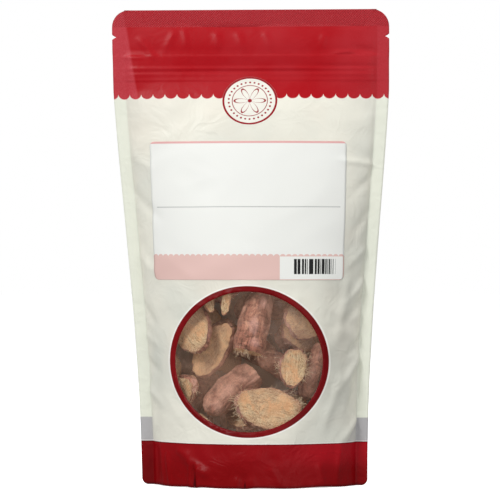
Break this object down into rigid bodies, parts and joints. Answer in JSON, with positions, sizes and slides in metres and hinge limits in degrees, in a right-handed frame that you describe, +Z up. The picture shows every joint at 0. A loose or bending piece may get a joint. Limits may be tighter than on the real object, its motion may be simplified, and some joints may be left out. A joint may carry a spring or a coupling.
{
  "type": "stand-up pouch of dried galangal slices",
  "caption": "Filled, heat-sealed stand-up food pouch with a press zip, tear notches, a label and an oval clear window that shows dried galangal root slices inside.",
  "frame": {"origin": "on the ground under the middle of the pouch", "axes": "+Z up, the printed front with its label and window faces -Y, +X to the right seen from the front"},
  "size_m": [0.18, 0.082, 0.3075],
  "materials": {
    "printed_film": "satin pearly cream film with dark red printed bands",
    "foot_film": "satin dark red film",
    "clear_film": "clear, slightly hazy film",
    "zip_plastic": "translucent natural plastic",
    "label_paper": "matte white paper with a pink band",
    "root_flesh": "dry fibrous pale tan cut faces",
    "root_skin": "wrinkled pinkish brown dried skin"
  },
  "bodies": {
    "root": {"back_film": "printed_film", "bottom_gusset": "foot_film", "front_film": "printed_film", "galangal_finger_01": "root_skin", "galangal_finger_03": "root_skin", "galangal_finger_04": "root_skin", "galangal_finger_05": "root_skin", "galangal_finger_13": "root_skin", "galangal_finger_14": "root_skin", "galangal_finger_19": "root_skin", "galangal_finger_21": "root_skin", "galangal_finger_24": "root_skin", "galangal_finger_33": "root_skin", "galangal_finger_37": "root_skin", "galangal_finger_41": "root_skin", "galangal_finger_42": "root_skin", "galangal_slice_02": "root_flesh", "galangal_slice_06": "root_flesh", "galangal_slice_07": "root_flesh", "galangal_slice_08": "root_flesh", "galangal_slice_09": "root_flesh", "galangal_slice_10": "root_flesh", "galangal_slice_11": "root_flesh", "galangal_slice_12": "root_flesh", "galangal_slice_15": "root_flesh", "galangal_slice_16": "root_flesh", "galangal_slice_17": "root_flesh", "galangal_slice_18": "root_flesh", "galangal_slice_20": "root_flesh", "galangal_slice_22": "root_flesh", "galangal_slice_23": "root_flesh", "galangal_slice_25": "root_flesh", "galangal_slice_26": "root_flesh", "galangal_slice_27": "root_flesh", "galangal_slice_28": "root_flesh", "galangal_slice_29": "root_flesh", "galangal_slice_30": "root_flesh", "galangal_slice_31": "root_flesh", "galangal_slice_32": "root_flesh", "galangal_slice_34": "root_flesh", "galangal_slice_35": "root_flesh", "galangal_slice_36": "root_flesh", "galangal_slice_38": "root_flesh", "galangal_slice_39": "root_flesh", "galangal_slice_40": "root_flesh", "galangal_slice_43": "root_flesh", "galangal_slice_44": "root_flesh", "label": "label_paper", "window_film": "clear_film", "zip_back": "zip_plastic", "zip_front": "zip_plastic"}
  },
  "joints": []
}
